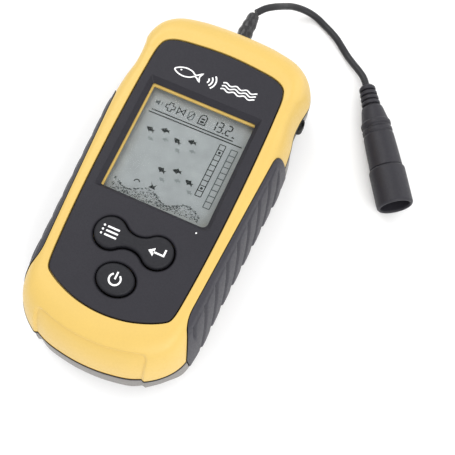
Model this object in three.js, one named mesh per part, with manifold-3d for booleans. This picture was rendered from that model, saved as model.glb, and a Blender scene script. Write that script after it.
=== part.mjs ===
// Handheld fish finder lying on its back: a yellow front shell and a grey rear shell around a sonar
// board, with rubber keys and grips, a battery bay, and a short cable to an in-line transducer socket.
// Millimetres. +Z up out of the screen, +Y towards the cable end, +X to the right of the screen.
// The origin is on the table under the middle of the casing.

import * as THREE from 'three';
import { mergeVertices } from 'three/addons/utils/BufferGeometryUtils.js';
import Module from 'manifold-3d';

const wasm = await Module();
wasm.setup();

// ---------------------------------------------------------------- driving dimensions
const GAP = 0.3; // air between pieces that touch in the real object
const RING_POINTS = 48; // points round each casing outline

const REAR_TOP = 16.4; // top edge of the rear shell
const SEAL_THICKNESS = 1.1;
const SEAL_EDGES = [0.3, 3.9]; // outer and inner edges, in from the casing's surface
const SEAL_BOTTOM = REAR_TOP + GAP;
const FRONT_BOTTOM = SEAL_BOTTOM + SEAL_THICKNESS + GAP; // bottom edge of the front shell
const FACE_TOP = 34.7; // highest line of the yellow face, beside the panel
const POCKET_FLOOR = 32.2; // floor that the panel lies on
const PLATE_UNDERSIDE = 29.8; // inner face of that floor

// Right half of the casing outline at its widest level, from the bottom end to the cable end.
const CASING_SIDE = [
  [0, -69], [8.6, -68.4], [17.9, -66.3], [25.5, -61.7], [30.8, -55], [32.5, -46.8], [33, -30],
  [33.8, -10], [34.5, 8], [35, 22], [34.1, 34], [32.7, 41], [32.7, 46.5], [33.3, 54.6], [30.3, 61.1],
  [24.7, 65.8], [15.7, 68.2], [6.7, 68.9], [0, 69],
];
// Right half of the dark panel's outline.
const PANEL_SIDE = [
  [0, -50.5], [9.1, -49.5], [16.2, -47.2], [20.7, -44.9], [22.2, -43.7], [23, -41.8], [24, -31.9],
  [24.9, -14.3], [25.3, 4.3], [25.3, 22], [25, 36], [24.4, 45.3], [23.2, 48.5], [20, 50.5],
  [10.9, 51.9], [0, 52.5],
];
// The sides below the widest level, as [inset from the casing outline, height].
const SIDE_LAYERS = [[8.5, 0], [5.05, 1.6], [1.9, 3.8], [0.35, 6.2], [0, 8.5]];
// The sides above it, as [share of the way from the casing outline to the panel's, height].
const FACE_LAYERS = [[0.03, 14], [0.085, 19.5], [0.105, 20.9], [0.147, 23.5], [0.197, 26], [0.28, 29],
  [0.394, 31.8], [0.52, 33.5], [0.705, 34.5], [1, FACE_TOP]];

const SCREEN = { width: 39.3, height: 41.5, y: 11.2 };
const LENS = { width: 42.7, height: 44.9, thickness: 1.2 };
const LCD = { width: 43, height: 46, thickness: 2.3 };
const LENS_SEAT = 31; // height of the ledge over the lens
const LCD_BOTTOM = 26.9;

const ROCKER = { y: -24.4, lobeX: 8.7, lobeRadius: 5.6, waist: 2.3 };
const POWER = { y: -38.3, radiusX: 6.6, radiusY: 5.4 };
const KEY_CLEARANCE = 0.6;
const KEY_TOP = 36.1;
const KEY_FLANGE = { bottom: 27.5, top: 28.6, lip: 1.4 };
const STEM_BOTTOM = 27.1;

const GRIP = { bottom: 9, top: 34, depth: 2.2, proud: 0.6 };
const GRIP_WALL = 1.7; // casing thickness behind the grip pockets
const WALL = 2.2; // casing thickness elsewhere

const SCOOP_DEPTH = 0.9;

const BOARD = { width: 47, bottomY: -51, topY: 51, bottom: 22.7, top: 24.3 };
const SWITCH_TOP = 26.2;

const BAY = { halfWidth: 21.8, bottomY: -51.5, topY: -0.3, roof: 13.8, wall: 1.8 };
const DOOR = { halfWidth: 22.2, topY: 1, thickness: 1.9, tongueX: 23.1, tongueZ: 1, slack: 0.45 };
const CELL = { radius: 5.2, body: 43.7, nub: 0.8, pitch: 10.8, z: 7.9 };
const CONTACT_PLATE = 0.4;

const CASE_SCREWS = [[20, 57.6], [27, 5.5], [18.8, -58.6]];
const BOARD_SCREWS = [[20.6, 47], [20.6, -47.6]];
const CASE_BOSS = { front: 2.5, rear: 3.1, hole: 1.35 };
const BOARD_BOSS = { radius: 2.1, hole: 1.2 };
const GLAND_WALL = { halfWidth: 6, y: [61.5, 70] }; // solid block that the gland passes through
const THROUGH_FACE = [25, 40]; // heights of the cutters that pass through the face

const GLAND = { x: -1.6, z: 17.2, tipY: 81, radius: 2.7, collarRadius: 4.2 };

const LUG = { x0: 29, x1: 34.3, y0: 44.6, y1: 49.6, z0: 9, z1: 15.5, holeInset: 1.7 };

const CABLE_DIAMETER = 2.9;
// The free cable's centreline, from the gland's tip, down to the table and up into the socket's boot.
const CABLE_ROUTE = [
  [-1.3, 82, 17.2], [1.1, 85.4, 16.8], [3.5, 88.3, 15.3], [5.2, 91, 12.7], [6.6, 93.6, 9.8],
  [8.5, 96.1, 7.1], [11.5, 97.9, 4.8], [15.1, 98.7, 3.1], [19, 98.3, 2], [22.8, 96.8, 1.5],
  [26.5, 94.8, 1.9], [29.9, 92.6, 2.3], [33.2, 90.2, 1.9], [36.5, 87.7, 1.7], [39.7, 85.2, 2.5],
  [42.8, 82.8, 3.6], [45.9, 80.2, 4.4], [48.4, 77, 4.8],
];

const SOCKET_START = [48.6, 76.7, 4.95]; // where the boot begins
const SOCKET_TILT = THREE.MathUtils.degToRad(3); // rise of the axis towards the mouth
const SOCKET_TURN = THREE.MathUtils.degToRad(-56.7); // plan direction from the boot to the mouth
const BOOT_LENGTH = 9.4;
const SOCKET_BODY_END = 35.5;
const SOCKET_FLOOR = 37.2; // bottom of the mouth's bore
const SOCKET_MOUTH = 51.1;
const COLLAR_RADIUS = 6.85;
const BORE_RADIUS = 5.5;

// ---------------------------------------------------------------- solids and meshes
const looks = {
  yellow: { color: 0xf2bf55, roughness: 0.45, metalness: 0 },
  panel: { color: 0x3c3c44, roughness: 0.5, metalness: 0 },
  lens: { color: 0xdfe6e6, roughness: 0.06, metalness: 0 },
  lcd: { color: 0x9aa5a6, roughness: 0.3, metalness: 0 },
  white: { color: 0xe8e8e4, roughness: 0.5, metalness: 0 },
  board: { color: 0x1f5c36, roughness: 0.5, metalness: 0 },
  chip: { color: 0x202024, roughness: 0.4, metalness: 0 },
  silver: { color: 0xa5a0a0, roughness: 0.4, metalness: 0 },
  rubber: { color: 0x3e3e45, roughness: 0.75, metalness: 0 },
  seal: { color: 0x17171a, roughness: 0.7, metalness: 0 },
  cell: { color: 0x3a6ea5, roughness: 0.35, metalness: 0.4 },
  metal: { color: 0xc8c8cc, roughness: 0.3, metalness: 1 },
};

// A closed geometry as a manifold solid. One whose profile ran the other way is turned to face out.
function solid(geometry) {
  const bare = new THREE.BufferGeometry();
  bare.setAttribute('position', geometry.getAttribute('position'));
  if (geometry.index) bare.setIndex(geometry.index);
  const merged = mergeVertices(bare, 1e-4);
  const corners = merged.getAttribute('position').array;
  const all = Array.from(merged.index.array);
  const a = new THREE.Vector3();
  const b = new THREE.Vector3();
  const c = new THREE.Vector3();
  const triangles = [];
  let volume = 0;
  for (let i = 0; i < all.length; i += 3) {
    const [p, q, r] = all.slice(i, i + 3);
    if (p === q || q === r || r === p) continue;
    triangles.push(p, q, r);
    a.fromArray(corners, 3 * p);
    b.fromArray(corners, 3 * q);
    c.fromArray(corners, 3 * r);
    volume += a.dot(b.cross(c));
  }
  if (volume < 0) triangles.reverse();
  const mesh = new wasm.Mesh({
    numProp: 3,
    vertProperties: Float32Array.from(corners),
    triVerts: Uint32Array.from(triangles),
  });
  mesh.merge();
  return new wasm.Manifold(mesh);
}

const group = new THREE.Group();

function addPiece(name, look, piece) {
  const mesh = piece.getMesh();
  const geometry = new THREE.BufferGeometry();
  geometry.setAttribute('position', new THREE.BufferAttribute(mesh.vertProperties, 3));
  geometry.setIndex(new THREE.BufferAttribute(mesh.triVerts, 1));
  geometry.computeVertexNormals();
  const node = new THREE.Mesh(geometry, new THREE.MeshStandardMaterial(looks[look]));
  node.name = name;
  group.add(node);
}

function box(x0, x1, y0, y1, z0, z1) {
  const geometry = new THREE.BoxGeometry(x1 - x0, y1 - y0, z1 - z0);
  return solid(geometry.translate((x0 + x1) / 2, (y0 + y1) / 2, (z0 + z1) / 2));
}

function uprightCylinder(x, y, radius, z0, z1, sides = 10) {
  const geometry = new THREE.CylinderGeometry(radius, radius, z1 - z0, sides);
  return solid(geometry.rotateX(Math.PI / 2).translate(x, y, (z0 + z1) / 2));
}

// A solid turned about an axis along +Z, from [radius, height] pairs that start and end on the axis.
function turned(profile, sides) {
  const points = profile.map(([radius, height]) => new THREE.Vector2(radius, height));
  return new THREE.LatheGeometry(points, sides).rotateX(Math.PI / 2);
}

function plate(shape, z0, z1, segments = 6) {
  const options = { depth: z1 - z0, bevelEnabled: false, curveSegments: segments };
  return solid(new THREE.ExtrudeGeometry(shape, options).translate(0, 0, z0));
}

// A plate whose top edge is rounded over.
function roundedPlate(shape, z0, z1, round, segments = 6) {
  const options = {
    depth: z1 - z0 - round,
    bevelEnabled: true,
    bevelThickness: round,
    bevelSize: round,
    bevelOffset: -round,
    bevelSegments: 2,
    curveSegments: segments,
  };
  const blank = solid(new THREE.ExtrudeGeometry(shape, options).translate(0, 0, z0));
  return blank.subtract(box(-60, 60, -90, 90, z0 - round - 1, z0));
}

function roundedRectangle(width, height, radius, y) {
  const shape = new THREE.Shape();
  const right = width / 2;
  const low = y - height / 2;
  const high = y + height / 2;
  shape.absarc(right - radius, low + radius, radius, -Math.PI / 2, 0);
  shape.absarc(right - radius, high - radius, radius, 0, Math.PI / 2);
  shape.absarc(radius - right, high - radius, radius, Math.PI / 2, Math.PI);
  shape.absarc(radius - right, low + radius, radius, Math.PI, 1.5 * Math.PI);
  shape.closePath();
  return shape;
}

// ---------------------------------------------------------------- casing outlines and lofts
function closedRing(side) {
  const mirrored = side.slice(1, -1).reverse().map(([x, y]) => [-x, y]);
  const points = [...side, ...mirrored].map(([x, y]) => new THREE.Vector3(x, y, 0));
  const curve = new THREE.CatmullRomCurve3(points, true, 'centripetal');
  return curve.getSpacedPoints(RING_POINTS).slice(0, -1);
}

function insetRing(ring, distance) {
  return ring.map((point, i) => {
    const before = ring[(i + ring.length - 1) % ring.length];
    const after = ring[(i + 1) % ring.length];
    const along = after.clone().sub(before).normalize();
    return new THREE.Vector3(point.x - along.y * distance, point.y + along.x * distance, 0);
  });
}

function mixRings(from, to, share) {
  return from.map((point, i) => point.clone().lerp(to[i], share));
}

// A solid through rings of matching points, each at its own height, with flat ends.
function loft(layers) {
  const count = layers[0][0].length;
  const positions = [];
  const index = [];
  for (const [ring, z] of layers) ring.forEach((point) => positions.push(point.x, point.y, z));
  for (let layer = 0; layer + 1 < layers.length; layer += 1) {
    for (let i = 0; i < count; i += 1) {
      const a = layer * count + i;
      const b = layer * count + ((i + 1) % count);
      index.push(a, b, b + count, a, b + count, a + count);
    }
  }
  const ends = [[0, layers[0]], [(layers.length - 1) * count, layers[layers.length - 1]]];
  ends.forEach(([start, [, z]], end) => {
    const centre = positions.length / 3;
    positions.push(0, 0, z);
    for (let i = 0; i < count; i += 1) {
      const pair = [start + i, start + ((i + 1) % count)];
      if (end === 0) pair.reverse();
      index.push(centre, ...pair);
    }
  });
  const geometry = new THREE.BufferGeometry();
  geometry.setAttribute('position', new THREE.Float32BufferAttribute(positions, 3));
  geometry.setIndex(index);
  return solid(geometry);
}

const casingRing = closedRing(CASING_SIDE);
const panelRing = closedRing(PANEL_SIDE);

// The whole outer form with no seams, made bigger by grow. It ends on the face beside the panel.
function outerLayers(grow) {
  const lower = SIDE_LAYERS.map(([inset, z]) => [insetRing(casingRing, inset - grow), z]);
  const edge = insetRing(panelRing, -GAP);
  const upper = FACE_LAYERS.map(([share, z]) => {
    const ring = mixRings(casingRing, edge, share);
    return [insetRing(ring, -grow * (1 - share)), z + grow * Math.min(1, 2 * share)];
  });
  return [...lower, ...upper];
}

function outerForm(grow = 0) {
  return loft(outerLayers(grow));
}

// Plan area of a side grip, as an upright prism. A grow of more than 0 gives the pocket it sits in.
function gripPrism(side, grow = 0) {
  const shape = new THREE.Shape();
  shape.moveTo(40, 28 + grow);
  shape.lineTo(34.5 - grow, 27 + grow);
  shape.quadraticCurveTo(31.1 - grow, 26 + grow, 31 - grow, 21.5);
  shape.lineTo(27.6 - grow, -36.5);
  shape.quadraticCurveTo(27.4 - grow, -40, 28.6 - grow, -43 - grow);
  shape.quadraticCurveTo(30.6 - grow, -47 - grow, 31.4 - grow, -51 - grow);
  shape.lineTo(40, -53 - grow);
  shape.closePath();
  const prism = plate(shape, GRIP.bottom - grow, GRIP.top + grow, 3);
  return side > 0 ? prism : prism.mirror([1, 0, 0]);
}

// Keeps the casing wall whole behind the grip pockets.
function gripBacking(side) {
  return gripPrism(side, GRIP_WALL).subtract(outerForm(-GRIP.depth - GAP - GRIP_WALL));
}

function gripPocket(side) {
  return gripPrism(side, GAP).subtract(outerForm(-GRIP.depth - GAP));
}

const bothSides = [1, -1];

// ---------------------------------------------------------------- keys
// Two round lobes joined by a waist, with hollow sides that run smoothly into the lobes.
function rockerShape(grow = 0) {
  const radius = ROCKER.lobeRadius + grow;
  const { lobeX, lobeRadius, waist, y } = ROCKER;
  const plain = (lobeX ** 2 + waist ** 2 - lobeRadius ** 2) / (2 * (lobeRadius - waist));
  const hollow = plain - grow;
  const centreY = waist + plain;
  const lean = Math.atan2(centreY, lobeX);
  const shape = new THREE.Shape();
  shape.absarc(lobeX, y, radius, lean - Math.PI, Math.PI - lean);
  shape.absarc(0, y + centreY, hollow, -lean, lean - Math.PI, true);
  shape.absarc(-lobeX, y, radius, lean, -lean);
  shape.absarc(0, y - centreY, hollow, Math.PI - lean, lean, true);
  shape.closePath();
  return shape;
}

function powerShape(grow = 0) {
  const shape = new THREE.Shape();
  shape.absellipse(0, POWER.y, POWER.radiusX + grow, POWER.radiusY + grow, 0, 2 * Math.PI);
  return shape;
}

function rockerKey() {
  const cap = roundedPlate(rockerShape(), KEY_FLANGE.bottom, KEY_TOP, 0.8, 4);
  let key = cap.add(plate(rockerShape(KEY_FLANGE.lip), KEY_FLANGE.bottom, KEY_FLANGE.top, 4));
  for (const side of bothSides) {
    key = key.add(uprightCylinder(side * ROCKER.lobeX, ROCKER.y, 2, STEM_BOTTOM, KEY_FLANGE.top, 12));
  }
  addPiece('menu_rocker_key', 'rubber', key);
}

function powerKey() {
  const cap = roundedPlate(powerShape(), KEY_FLANGE.bottom, KEY_TOP, 0.8, 12);
  const flange = plate(powerShape(KEY_FLANGE.lip), KEY_FLANGE.bottom, KEY_FLANGE.top, 12);
  const stem = uprightCylinder(0, POWER.y, 2, STEM_BOTTOM, KEY_FLANGE.top, 12);
  addPiece('power_key', 'rubber', cap.add(flange).add(stem));
}

// ---------------------------------------------------------------- front half
function glandCollar(grow) {
  const neck = new THREE.CylinderGeometry(GLAND.radius + grow, GLAND.radius + grow, 24, 16).translate(0, 68, 0);
  const ring = new THREE.CylinderGeometry(GLAND.collarRadius + grow, GLAND.collarRadius + grow,
    2 + 2 * grow, 16).translate(0, 64.2, 0);
  return solid(neck).add(solid(ring)).translate([GLAND.x, 0, GLAND.z]);
}

function glandBlock(z0, z1) {
  const { halfWidth, y } = GLAND_WALL;
  return box(GLAND.x - halfWidth, GLAND.x + halfWidth, ...y, z0, z1);
}

function frontShell() {
  const below = box(-50, 50, -90, 90, -1, FRONT_BOTTOM);
  const pocket = insetRing(panelRing, -GAP);
  let shell = outerForm().subtract(below);
  shell = shell.subtract(loft([[pocket, POCKET_FLOOR], [pocket, FACE_TOP + 1]]));
  let cavity = outerForm(-WALL).intersect(box(-50, 50, -90, 90, FRONT_BOTTOM - 1, PLATE_UNDERSIDE));
  for (const side of bothSides) cavity = cavity.subtract(gripBacking(side));
  for (const [x, y] of CASE_SCREWS) {
    for (const side of bothSides) {
      cavity = cavity.subtract(uprightCylinder(side * x, y, CASE_BOSS.front, FRONT_BOTTOM - 1, 31));
    }
  }
  for (const [x, y] of BOARD_SCREWS) {
    for (const side of bothSides) {
      cavity = cavity.subtract(uprightCylinder(side * x, y, BOARD_BOSS.radius, BOARD.top + GAP, 31, 12));
    }
  }
  cavity = cavity.subtract(glandBlock(FRONT_BOTTOM - 2, 27));
  shell = shell.subtract(cavity);
  for (const side of bothSides) shell = shell.subtract(gripPocket(side));
  const screen = roundedRectangle(SCREEN.width, SCREEN.height, 1.2, SCREEN.y);
  shell = shell.subtract(plate(screen, ...THROUGH_FACE, 2));
  const lensSeat = roundedRectangle(LENS.width + 2 * GAP, LENS.height + 2 * GAP, 1.5, SCREEN.y);
  shell = shell.subtract(plate(lensSeat, THROUGH_FACE[0], LENS_SEAT, 2));
  shell = shell.subtract(plate(rockerShape(KEY_CLEARANCE), ...THROUGH_FACE, 4));
  shell = shell.subtract(plate(powerShape(KEY_CLEARANCE), ...THROUGH_FACE, 12));
  for (const [x, y] of CASE_SCREWS) {
    for (const side of bothSides) {
      shell = shell.subtract(uprightCylinder(side * x, y, CASE_BOSS.hole, FRONT_BOTTOM - 1, 28.5, 10));
    }
  }
  for (const [x, y] of BOARD_SCREWS) {
    for (const side of bothSides) {
      shell = shell.subtract(uprightCylinder(side * x, y, BOARD_BOSS.hole, BOARD.top - 1, 28.9, 10));
    }
  }
  shell = shell.subtract(glandCollar(GAP)).subtract(thumbScoop());
  addPiece('front_shell', 'yellow', shell);
}

// Shallow hollow across the bottom end of the casing, for the thumb.
function thumbScoop() {
  const shape = new THREE.Shape();
  shape.moveTo(-21.5, -72);
  shape.lineTo(-20.5, -61.5);
  shape.quadraticCurveTo(-19.5, -57.6, -16, -57.8);
  shape.quadraticCurveTo(0, -62.4, 16, -57.8);
  shape.quadraticCurveTo(19.5, -57.6, 20.5, -61.5);
  shape.lineTo(21.5, -72);
  shape.closePath();
  return plate(shape, 5, 40, 4).subtract(outerForm(-SCOOP_DEPTH));
}

function frontPanel() {
  const outline = insetRing(panelRing, 0);
  const edge = insetRing(panelRing, 0.5);
  const bottom = POCKET_FLOOR + GAP;
  let panel = loft([[outline, bottom], [outline, FACE_TOP - 0.5], [edge, FACE_TOP]]);
  const window = solid(bevelledWindow(bottom));
  panel = panel.subtract(window);
  panel = panel.subtract(plate(rockerShape(KEY_CLEARANCE), ...THROUGH_FACE, 4));
  panel = panel.subtract(plate(powerShape(KEY_CLEARANCE), ...THROUGH_FACE, 12));
  addPiece('front_panel', 'panel', panel);
}

// The window's cutter: straight at the bottom and opening out towards the top.
function bevelledWindow(bottom) {
  const geometry = new THREE.BufferGeometry();
  const low = [SCREEN.width / 2 + 0.7, SCREEN.height / 2 + 0.7];
  const high = [SCREEN.width / 2 + 3.6, SCREEN.height / 2 + 3.6];
  const corners = [[-1, -1], [1, -1], [1, 1], [-1, 1]];
  const heights = [[low, bottom - 1], [low, bottom + 0.6], [high, FACE_TOP + 2]];
  const positions = [];
  for (const [[x, y], z] of heights) {
    for (const [sx, sy] of corners) positions.push(sx * x, sy * y + SCREEN.y, z);
  }
  const index = [0, 2, 1, 0, 3, 2, 8, 9, 10, 8, 10, 11];
  for (const level of [0, 4]) {
    for (let i = 0; i < 4; i += 1) {
      const a = level + i;
      const b = level + ((i + 1) % 4);
      index.push(a, b, b + 4, a, b + 4, a + 4);
    }
  }
  geometry.setAttribute('position', new THREE.Float32BufferAttribute(positions, 3));
  geometry.setIndex(index);
  return geometry;
}

function display() {
  const lensTop = LENS_SEAT - GAP;
  const lens = roundedRectangle(LENS.width, LENS.height, 1.2, SCREEN.y);
  addPiece('screen_lens', 'lens', plate(lens, lensTop - LENS.thickness, lensTop, 2));
  const glass = roundedRectangle(LCD.width, LCD.height, 0.5, SCREEN.y);
  addPiece('lcd_glass', 'lcd', plate(glass, LCD_BOTTOM, LCD_BOTTOM + LCD.thickness, 1));
  const lightBottom = BOARD.top + GAP;
  const light = roundedRectangle(LCD.width, LCD.height - 6, 0.5, SCREEN.y - 3);
  addPiece('backlight_plate', 'white', plate(light, lightBottom, LCD_BOTTOM - GAP, 1));
  const stripY = SCREEN.y + LCD.height / 2 - 2;
  addPiece('lcd_contact_strip', 'chip', box(-18, 18, stripY - 1, stripY + 1, lightBottom,
    LCD_BOTTOM - GAP));
}

// ---------------------------------------------------------------- electronics
function electronics() {
  const outline = roundedRectangle(BOARD.width, BOARD.topY - BOARD.bottomY, 3, 0);
  let board = plate(outline, BOARD.bottom, BOARD.top, 3);
  for (const [x, y] of BOARD_SCREWS) {
    for (const side of bothSides) {
      board = board.subtract(uprightCylinder(side * x, y, 1.3, BOARD.bottom - 1, BOARD.top + 1, 10));
    }
  }
  addPiece('main_board', 'board', board);
  const onTop = BOARD.top + GAP;
  const switches = [['menu_switch_left', -ROCKER.lobeX, ROCKER.y],
    ['menu_switch_right', ROCKER.lobeX, ROCKER.y], ['power_switch', 0, POWER.y]];
  for (const [name, x, y] of switches) {
    const base = box(x - 3, x + 3, y - 3, y + 3, onTop, onTop + 1);
    addPiece(name, 'metal', base.add(uprightCylinder(x, y, 1.7, onTop + 0.9, SWITCH_TOP, 12)));
  }
  const under = BOARD.bottom - GAP;
  addPiece('sonar_chip', 'chip', box(-7, 7, 8, 22, under - 1.6, under));
  addPiece('sonar_transformer', 'chip', box(-17, -7, 37, 46, onTop, onTop + 4.8));
  const buzzer = turned([[0, 0], [4.4, 0], [4.4, 4.6], [1, 4.6], [1, 4], [0, 4]], 14);
  addPiece('buzzer', 'chip', solid(buzzer.translate(13, 41, onTop)));
  addPiece('cable_header', 'white', box(-4, 4, 43, 48.5, onTop, onTop + 3.4));
  const lead = [[GLAND.x, 58.6, GLAND.z], [GLAND.x, 56.8, 18], [-1, 54.6, 21], [-0.3, 52.8, 24.6],
    [0, 50.8, 26.6], [0, 48.8, 26.7]];
  addPiece('inner_lead', 'seal', tube(lead, 1.1, 12, 6));
}

function screw(headRadius, headHeight, shankRadius, length) {
  const slot = box(-headRadius, headRadius, -0.25, 0.25, -1, 0.6);
  return solid(turned([[0, 0], [headRadius, 0], [headRadius, headHeight], [shankRadius, headHeight],
    [shankRadius, length - 1], [0, length]], 12)).subtract(slot);
}

function screws() {
  let number = 1;
  for (const [x, y] of CASE_SCREWS) {
    for (const side of bothSides) {
      const piece = screw(1.9, 1.6, 1.05, 24).translate([side * x, y, 4.1]);
      addPiece(`case_screw_${number}`, 'metal', piece);
      number += 1;
    }
  }
  number = 1;
  for (const [x, y] of BOARD_SCREWS) {
    for (const side of bothSides) {
      const piece = screw(1.7, 1.2, 0.9, 7).translate([side * x, y, BOARD.bottom - GAP - 1.2]);
      addPiece(`board_screw_${number}`, 'metal', piece);
      number += 1;
    }
  }
}

// ---------------------------------------------------------------- rear half
function caseSeal() {
  const level = box(-50, 50, -90, 90, SEAL_BOTTOM, SEAL_BOTTOM + SEAL_THICKNESS);
  let seal = outerForm(-SEAL_EDGES[0]).intersect(level).subtract(outerForm(-SEAL_EDGES[1]));
  for (const side of bothSides) seal = seal.subtract(gripPocket(side));
  addPiece('case_seal', 'seal', seal.subtract(glandCollar(GAP)).subtract(thumbScoop()));
}

function rearShell() {
  const above = box(-50, 50, -90, 90, REAR_TOP, 60);
  let shell = outerForm().subtract(above);
  let cavity = outerForm(-WALL).intersect(box(-50, 50, -90, 90, WALL, REAR_TOP + 1));
  for (const side of bothSides) cavity = cavity.subtract(gripBacking(side));
  const bay = [BAY.halfWidth + BAY.wall, BAY.bottomY - BAY.wall, DOOR.topY + 1.8];
  cavity = cavity.subtract(box(-bay[0], bay[0], bay[1], bay[2], 0, BAY.roof + BAY.wall));
  for (const [x, y] of CASE_SCREWS) {
    for (const side of bothSides) {
      cavity = cavity.subtract(uprightCylinder(side * x, y, CASE_BOSS.rear, 0, REAR_TOP + 1));
    }
  }
  cavity = cavity.subtract(glandBlock(11, REAR_TOP + 1));
  shell = shell.subtract(cavity);
  shell = shell.subtract(box(-BAY.halfWidth, BAY.halfWidth, BAY.bottomY, BAY.topY, 1, BAY.roof));
  shell = shell.subtract(doorForm(DOOR.slack, GAP));
  for (const [x, y] of CASE_SCREWS) {
    for (const side of bothSides) {
      shell = shell.subtract(uprightCylinder(side * x, y, 2.3, -1, 6, 12));
      shell = shell.subtract(uprightCylinder(side * x, y, CASE_BOSS.hole, 5, REAR_TOP + 1, 10));
    }
  }
  for (const side of bothSides) shell = shell.subtract(gripPocket(side));
  shell = shell.subtract(glandCollar(GAP)).subtract(thumbScoop()).subtract(lugPocket());
  addPiece('rear_shell', 'silver', shell);
}

// The door's plate and its two side tongues, which slide out towards the bottom end.
function doorForm(slack = 0, above = 0) {
  const top = DOOR.topY + slack;
  const wide = DOOR.halfWidth + slack;
  const tongue = DOOR.tongueX + 0.7 * slack;
  const ceiling = DOOR.thickness + above;
  const middle = box(-wide, wide, -75, top, -1, ceiling);
  return middle.add(box(-tongue, tongue, -75, top, DOOR.tongueZ - above, ceiling));
}

function batteryDoor() {
  let door = outerForm().intersect(doorForm());
  for (let rib = 0; rib < 4; rib += 1) {
    door = door.subtract(box(-7, 7, -3.4 - 2.2 * rib, -2.4 - 2.2 * rib, -1, 0.6));
  }
  addPiece('battery_door', 'silver', door);
}

class SpringCurve extends THREE.Curve {
  constructor(turns, wide, narrow, height) {
    super();
    Object.assign(this, { turns, wide, narrow, height });
  }

  getPoint(share, target = new THREE.Vector3()) {
    const angle = 2 * Math.PI * this.turns * share;
    const radius = this.wide + (this.narrow - this.wide) * share;
    return target.set(radius * Math.cos(angle), this.height * share, radius * Math.sin(angle));
  }
}

function batteries() {
  const platesAt = [BAY.bottomY + GAP, BAY.topY - GAP - CONTACT_PLATE];
  ['contact_plate_lower', 'contact_plate_upper'].forEach((name, i) => {
    const y = platesAt[i];
    addPiece(name, 'metal', box(-21, 21, y, y + CONTACT_PLATE, 3, 12.6));
  });
  const lowFace = platesAt[0] + CONTACT_PLATE + GAP;
  const highFace = platesAt[1] - GAP;
  const wire = 0.35;
  const springLength = highFace - lowFace - CELL.body - CELL.nub - GAP;
  const profile = [[0, 0], [4.9, 0], [CELL.radius, 0.3], [CELL.radius, CELL.body - 0.3],
    [4.9, CELL.body], [1.9, CELL.body], [1.9, CELL.body + CELL.nub], [0, CELL.body + CELL.nub]];
  for (let i = 0; i < 4; i += 1) {
    const x = (i - 1.5) * CELL.pitch;
    const flipped = i % 2 === 1;
    const cell = turned(profile, 14).rotateX(-Math.PI / 2);
    const path = new SpringCurve(3, 3.7, 2.4, springLength - 2 * wire - 0.1);
    const section = new THREE.Shape().absarc(0, 0, wire, 0, 2 * Math.PI);
    const spring = new THREE.ExtrudeGeometry(section,
      { steps: 30, extrudePath: path, curveSegments: 2, bevelEnabled: false });
    spring.translate(0, wire + 0.05, 0);
    cell.translate(0, springLength + GAP, 0);
    for (const [name, look, geometry] of [['battery_cell', 'cell', cell],
      ['battery_spring', 'metal', spring]]) {
      if (flipped) geometry.rotateZ(Math.PI);
      geometry.translate(x, flipped ? highFace : lowFace, CELL.z);
      addPiece(`${name}_${i + 1}`, look, solid(geometry));
    }
  }
}

// ---------------------------------------------------------------- grips and strap lug
function grips() {
  for (const side of bothSides) {
    const pad = outerForm(GRIP.proud).intersect(gripPrism(side));
    addPiece(side > 0 ? 'grip_right' : 'grip_left', 'rubber', pad.subtract(outerForm(-GRIP.depth)));
  }
}

function lugPocket() {
  return box(LUG.x0 - GAP, 40, LUG.y0 - GAP, LUG.y1 + GAP, LUG.z0 - GAP, LUG.z1 + GAP);
}

function strapLug() {
  const blank = box(LUG.x0, LUG.x1, LUG.y0, LUG.y1, LUG.z0, LUG.z1);
  const middleY = (LUG.y0 + LUG.y1) / 2;
  const hole = uprightCylinder(LUG.x1 - LUG.holeInset, middleY, 0.9, LUG.z0 - 1, LUG.z1 + 1);
  addPiece('strap_lug', 'seal', blank.subtract(hole));
}

// ---------------------------------------------------------------- cable and socket
function tube(points, radius, steps, sides) {
  const path = new THREE.CatmullRomCurve3(points.map((p) => new THREE.Vector3(...p)));
  const section = new THREE.Shape().absarc(0, 0, radius, 0, 2 * Math.PI);
  const options = { steps, extrudePath: path, curveSegments: sides / 2, bevelEnabled: false };
  return solid(new THREE.ExtrudeGeometry(section, options));
}

function cableGland() {
  const tip = GLAND.tipY;
  const { radius, collarRadius } = GLAND;
  const sleeve = turned([[0, 59], [radius, 59], [radius, 63.2], [collarRadius, 63.2],
    [collarRadius, 65.2], [radius, 65.2], [radius, 70], [2.9, 72], [2.5, 74], [2.6, 76], [2.3, 78],
    [2.25, tip - 1], [2, tip], [0, tip]], 16).rotateX(-Math.PI / 2);
  addPiece('cable_gland', 'seal', solid(sleeve.translate(GLAND.x, 0, GLAND.z)));
}

function placeOnTable(geometry) {
  geometry.rotateY(Math.PI / 2 - SOCKET_TILT).rotateZ(SOCKET_TURN);
  return solid(geometry.translate(...SOCKET_START));
}

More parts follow.
